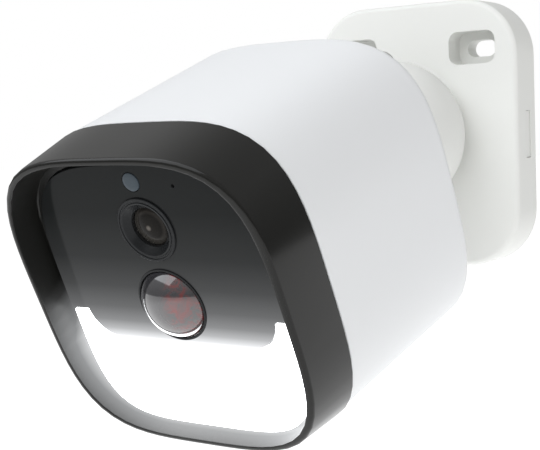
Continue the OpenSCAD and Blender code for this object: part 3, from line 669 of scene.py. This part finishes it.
def drawLamp(l, grow, front, back):
    # the lamp's outline: the hood's shape, cut by a wide notch that leaves its two ends turned up
    size = (l["width"] + 2 * grow, l["height"] + 2 * grow, l["middle"])
    startSquare(*size, l["squareness"], 24)
    lamp = drawLoft([(front, *size), (back, *size)])
    above = drawBlock(100, 30, 60, (0, 0, l["hornTip"] + grow + 30))
    startRounded(l["notchWidth"] - 2 * grow, 60, l["top"] + grow + 30, l["notchRadius"] - grow)
    notchSize = (l["notchWidth"] - 2 * grow, 60, l["top"] + grow + 30)
    notch = drawLoft([(-20, *notchSize), (20, *notchSize)])
    return combine(lamp, [above, notch])


def makePanel(p):
    size = (p["width"], p["height"], p["middle"])
    startSquare(*size, p["squareness"], 24)
    panel = drawLoft([(0, *size), (p["thickness"], *size)])
    lampTool = drawLamp(lampPiece, p["lampGap"], -10, 10)
    below = drawBlock(100, 30, 60, (0, 0, lampPiece["top"] - 30))
    sides = [drawBlock(20, 30, 40, (side * 42, 0, lampPiece["hornTip"] - 20)) for side in (-1, 1)]
    microphoneX, microphoneZ = microphonePlace
    holes = [drawRod(p["lightHole"], 20, (0, 0, sensorPlaces["light"])),
             drawRod(p["lensHole"], 20, (0, 0, sensorPlaces["lens"]), steps=96),
             drawRod(p["pirHole"], 20, (0, 0, sensorPlaces["pir"]), steps=96),
             drawRod(p["microphoneHole"], 20, (microphoneX, 0, microphoneZ), steps=24)]
    combine(panel, [lampTool, below, *sides, *holes])
    softenEdges(panel, p["edge"], 2, 50)
    return finishPiece(panel, "frontPanel", facePlace, "head", panelGloss, ["front_panel"], 30)


def makeLamp(l):
    lamp = drawLamp(l, 0, l["front"], l["back"])
    softenEdges(lamp, l["edge"], 3, 50)
    return finishPiece(lamp, "lampDiffuser", facePlace, "head", litDiffuser, ["lamp_diffuser"], 40)


print("front panel and lamp")
makePanel(panelPiece)
makeLamp(lampPiece)


lensPiece = dict(ringRadius=8.3, ringFront=-0.5, glassRadius=5, curve=9, glassFront=0.4)


def makeLens(l):
    middle, edge, front = sensorPlaces["lens"], l["ringRadius"], l["ringFront"]
    ring = drawTurned([(2.6, 7.25), (-0.02, 7.28), (-0.02, edge), (front + 0.25, edge), (front + 0.08, edge - 0.08),
                       (front, edge - 0.25), (front, 7.72), (front + 0.05, 7.64), (front + 0.2, 7.56),
                       (front + 0.2, 7.2), (front + 0.05, 7.12), (front, 7.04), (front, 6.75),
                       (front + 0.06, 6.6), (0.9, 5.2), (1.0, 5.12), (2.6, 5.1)], middle, "ring")
    finishPiece(ring, "lensRing", facePlace, "head", ringGrey, ["lens_ring"], 25)
    curved = [(l["glassFront"] + l["curve"] - math.sqrt(l["curve"] ** 2 - r ** 2), r)
              for r in (4.95, 4.6, 4.2, 3.7, 3.1, 2.5, 1.8, 1.1, 0.4)]
    glass = drawTurned([(2.9, l["glassRadius"]), (curved[0][0] + 0.1, l["glassRadius"])] + curved, middle)
    finishPiece(glass, "lensGlass", facePlace, "head", frontLens, ["lens_glass"], 60)


def makeLightSensor():
    middle = sensorPlaces["light"]
    window = drawTurned([(3.1, 3), (2.4, 3), (2.4, 2.35), (0.1, 2.35), (-0.05, 2.3), (-0.12, 2.15), (-0.15, 1.2),
                         (-0.16, 0.3)], middle, steps=64)
    finishPiece(window, "lightSensorWindow", facePlace, "head", windowGrey,
                ["light_sensor_window"], 40)


pirPiece = dict(ringRadius=9.8, lensRadius=9.1, curve=10.4)


def makePir(p):
    middle, inner, edge = sensorPlaces["pir"], p["lensRadius"] + 0.05, p["ringRadius"]
    ring = drawTurned([(1.9, inner), (1.9, inner + 0.01), (-0.02, inner + 0.02), (-0.02, edge), (-0.25, edge),
                       (-0.4, edge - 0.08), (-0.45, edge - 0.22), (-0.45, inner + 0.16), (-0.4, inner + 0.06),
                       (-0.3, inner)], middle, "ring")
    finishPiece(ring, "pirRing", facePlace, "head", ringGrey, ["pir_ring"], 25)
    centre = math.sqrt(p["curve"] ** 2 - p["lensRadius"] ** 2)
    widest = math.degrees(math.asin(p["lensRadius"] / p["curve"]))
    outer = arcRings(centre, 0, p["curve"], widest, 2, 20)
    dome = drawTurned([(3.4, 10.2), (2.4, 10.2), (2.4, p["lensRadius"])] + outer, middle)
    finishPiece(dome, "pirDome", facePlace, "head", pirPlastic, ["pir_dome"], 50)


print("lens and sensors")
makeLens(lensPiece)
makeLightSensor()
makePir(pirPiece)

platePiece = dict(width=70, height=82, thickness=13.4, radius=17.5, wall=3, edge=1.5, slotPitch=41, slotMiddle=26.2,
                  slotWidth=5.2, slotLength=9.6, recessWidth=15.4, recessHeight=10, recessDepth=7.5,
                  notchMiddle=-0.8, notchHeight=14.4, notchFrom=-6.8, notchTo=-3.4)


def makePlate(p):
    startRounded(p["width"], p["height"], 0, p["radius"], 16)
    front = -p["thickness"]
    stations = [(0, p["width"], p["height"], 0)]
    for i in range(7):
        turn = math.radians(90 * i / 6)
        shrink = 2 * p["edge"] * (1 - math.cos(turn))
        stations.append((front + p["edge"] * (1 - math.sin(turn)), p["width"] - shrink, p["height"] - shrink, 0))
    plate = drawLoft(stations)
    tools = []
    for side in (-1, 1):
        at = side * p["slotPitch"] / 2
        startRounded(p["recessWidth"], p["recessHeight"], p["slotMiddle"], 3, 8)
        size = (p["recessWidth"], p["recessHeight"], p["slotMiddle"])
        recess = drawLoft([(front - 5, *size), (front + p["recessDepth"], *size)])
        recess.location.x = at * mm
        startRounded(p["slotLength"], p["slotWidth"], p["slotMiddle"], p["slotWidth"] / 2 - 0.01, 12)
        size = (p["slotLength"], p["slotWidth"], p["slotMiddle"])
        slot = drawLoft([(front, *size), (5, *size)])
        slot.location.x = at * mm
        tools += [recess, slot]
    inner = (p["width"] - 2 * p["wall"], p["height"] - 2 * p["wall"], 0)
    startRounded(*inner, p["radius"] - p["wall"], 16)
    cavity = drawLoft([(front + p["wall"] + 1, *inner), (5, *inner)])
    posts = [drawRod(14, 40, (0, -10, 0), steps=96)]
    posts += [drawBlock(p["recessWidth"] + 4, 40, p["recessHeight"] + 4,
                        (side * p["slotPitch"] / 2, -10, p["slotMiddle"])) for side in (-1, 1)]
    combine(cavity, posts)
    notch = drawBlock(p["wall"] + 2, p["notchTo"] - p["notchFrom"], p["notchHeight"],
                      (p["width"] / 2 - p["wall"] / 2, (p["notchFrom"] + p["notchTo"]) / 2, p["notchMiddle"]))
    combine(plate, [cavity, *tools, notch])
    softenEdges(plate, 0.25, 2, 60)
    return finishPiece(plate, "wallPlate", mountPlace, "wall_mount", mountPlastic, ["wall_plate"], 30)


domePiece = dict(radius=23.2, wall=2.8, foot=16.2, floor=3, slotWidth=14.8, slotFrom=-36.3, slotTo=76.3,
                 postRadius=6.05)


def makeDome(d):
    # about the tilt centre; depth grows towards the wall
    inside = d["radius"] - d["wall"]
    footAngle = math.degrees(math.acos(-d["foot"] / d["radius"]))
    innerAngle = math.degrees(math.acos(-(d["foot"] - d["floor"]) / inside))
    footRadius = d["radius"] * math.sin(math.radians(footAngle))
    outer = arcRings(0, 0, d["radius"], footAngle, 1, 40)
    rings = [(d["foot"], d["postRadius"]), (d["foot"], footRadius - 0.5), (d["foot"] - 0.15, footRadius)] + outer[1:]
    inner = arcRings(0, 0, inside, 1, innerAngle, 32) + [(d["foot"] - d["floor"], d["postRadius"])]
    dome = drawTurned(rings + inner, 0, "ring", 128)
    return dome


def cutDome(dome, d):
    # the slot that the neck sweeps through as the head tilts: a sector, spun about the tilt axis
    deselectAll()
    bpy.ops.mesh.primitive_plane_add(size=1)
    bpy.ops.object.mode_set(mode="EDIT")
    bpy.ops.mesh.select_all(action="SELECT")
    bpy.ops.transform.resize(value=(d["slotWidth"] * mm, 26 * mm, 1))
    bpy.ops.transform.translate(value=(0, -21 * mm, 0))
    bpy.ops.transform.rotate(value=math.radians(-d["slotFrom"]), orient_axis="X", center_override=(0, 0, 0))
    bpy.ops.mesh.spin(steps=24, angle=math.radians(d["slotTo"] - d["slotFrom"]), center=(0, 0, 0), axis=(-1, 0, 0))
    bpy.ops.mesh.select_all(action="SELECT")
    bpy.ops.mesh.normals_make_consistent(inside=False)
    bpy.ops.object.mode_set(mode="OBJECT")
    sector = bpy.context.active_object
    combine(dome, [sector])
    softenEdges(dome, 0.3, 2, 50)
    return finishPiece(dome, "swivelDome", tiltPlace, "swivel", mountPlastic, ["swivel_dome"], 30)


print("wall mount")
makePlate(platePiece)
cutDome(makeDome(domePiece), domePiece)

cadFinish = {
    mountPlastic: ["cable_knockout", "lock_collar"],
    blackRubber: ["wall_gasket", "body_seal", "panel_gasket"],
    zincSteel: ["swivel_post", "post_washer", "post_screw", "tilt_pin", "spindle_clip", "pir_can", "chassis_screws",
                "shield_cans", "usb_socket"],
    blackMatte: ["pin_washers", "lens_barrel", "filter_housing", "battery_holder", "speaker"],
    darkGrey: ["tilt_arm", "chassis", "spin_bushing"],
    lensCoat: ["lens_rear_element"],
    filterGlass: ["ir_filter"],
    chipBlack: ["image_sensor", "light_sensor_chip"],
    boardGreen: ["sensor_board", "pir_board", "main_board", "port_board"],
    reflectorWhite: ["lamp_reflector", "led_board"],
    ledYellow: ["led_chips"],
    castMetal: ["lamp_heatsink"],
    redWire: ["lamp_lead", "reset_button"],
    goldContact: ["antenna", "microphone"],
    cellWrap: ["battery_cells"],
    softRubber: ["port_flap"],
}
for material, names in cadFinish.items():
    for name in names:
        node = frame["nodes"][name]
        node.data.materials.clear()
        node.data.materials.append(material)

lightSettings = dict(world=0.6, floorDrop=0.16, key=3.6, fill=4, floorLift=0.55)


def makeFloor(s):
    deselectAll()
    bpy.ops.mesh.primitive_plane_add(size=12, location=(0, 0, cadLow.z - s["floorDrop"]))
    floor = bpy.context.active_object
    floor.name = "floor"
    material = makePlastic("paleFloor", (0.93, 0.93, 0.93), 0.8, tint=0.01, bump=0.02)
    shader = material.node_tree.nodes["Principled BSDF"]
    shader.inputs["Emission Color"].default_value = (1, 1, 1, 1)
    shader.inputs["Emission Strength"].default_value = s["floorLift"]
    floor.data.materials.append(material)


def makeLight(name, place, target, size, power, colour=(1, 1, 1), reflected=True):
    lamp = bpy.data.lights.new(name, "AREA")
    lamp.shape = "RECTANGLE"
    lamp.size, lamp.size_y = size
    lamp.energy = power
    lamp.color = colour
    light = bpy.data.objects.new(name, lamp)
    scene.collection.objects.link(light)
    light.location = place
    light.visible_glossy = reflected
    light.rotation_euler = (Vector(target) - Vector(place)).to_track_quat("-Z", "Y").to_euler()


def makeWorld(strength):
    world = bpy.data.worlds.new("studio")
    world.use_nodes = True
    nodes, links = world.node_tree.nodes, world.node_tree.links
    # white behind the object, a softer light on it
    path = nodes.new("ShaderNodeLightPath")
    mix = nodes.new("ShaderNodeMix")
    mix.inputs["A"].default_value = strength
    mix.inputs["B"].default_value = 1
    links.new(path.outputs["Is Camera Ray"], mix.inputs["Factor"])
    direction = nodes.new("ShaderNodeTexCoord")
    apart = nodes.new("ShaderNodeSeparateXYZ")
    rise = nodes.new("ShaderNodeMapRange")
    rise.inputs["From Min"].default_value = -1
    sky = nodes.new("ShaderNodeValToRGB")
    for i, (position, level) in enumerate([(0, 0.75), (0.42, 0.7), (0.52, 0.36), (0.62, 0.6), (0.8, 1), (1, 1)]):
        stop = sky.color_ramp.elements[i] if i < 2 else sky.color_ramp.elements.new(1)
        stop.position = position
        stop.color = (level, level, level, 1)
    shown = nodes.new("ShaderNodeMix")
    shown.data_type = "RGBA"
    shown.inputs["B"].default_value = (1, 1, 1, 1)
    links.new(direction.outputs["Generated"], apart.inputs["Vector"])
    links.new(apart.outputs["Z"], rise.inputs["Value"])
    links.new(rise.outputs["Result"], sky.inputs["Fac"])
    links.new(path.outputs["Is Camera Ray"], shown.inputs["Factor"])
    links.new(sky.outputs["Color"], shown.inputs["A"])
    links.new(shown.outputs["Result"], nodes["Background"].inputs["Color"])
    links.new(mix.outputs["Result"], nodes["Background"].inputs["Strength"])
    scene.world = world


print("floor and light")
makeFloor(lightSettings)
makeWorld(lightSettings["world"])
windowTarget = Vector((-0.02, -0.12, -0.02))
windowPlace = windowTarget + 0.75 * Vector((-0.35, -0.5, 0.85)).normalized()
makeLight("windowLight", windowPlace, windowTarget, (0.9, 0.7), lightSettings["key"], (0.93, 0.96, 1))
makeLight("frontFill", (0.2, -1.2, 0.6), windowTarget, (0.8, 0.8), lightSettings["fill"], reflected=False)
scene.view_settings.view_transform = "Standard"
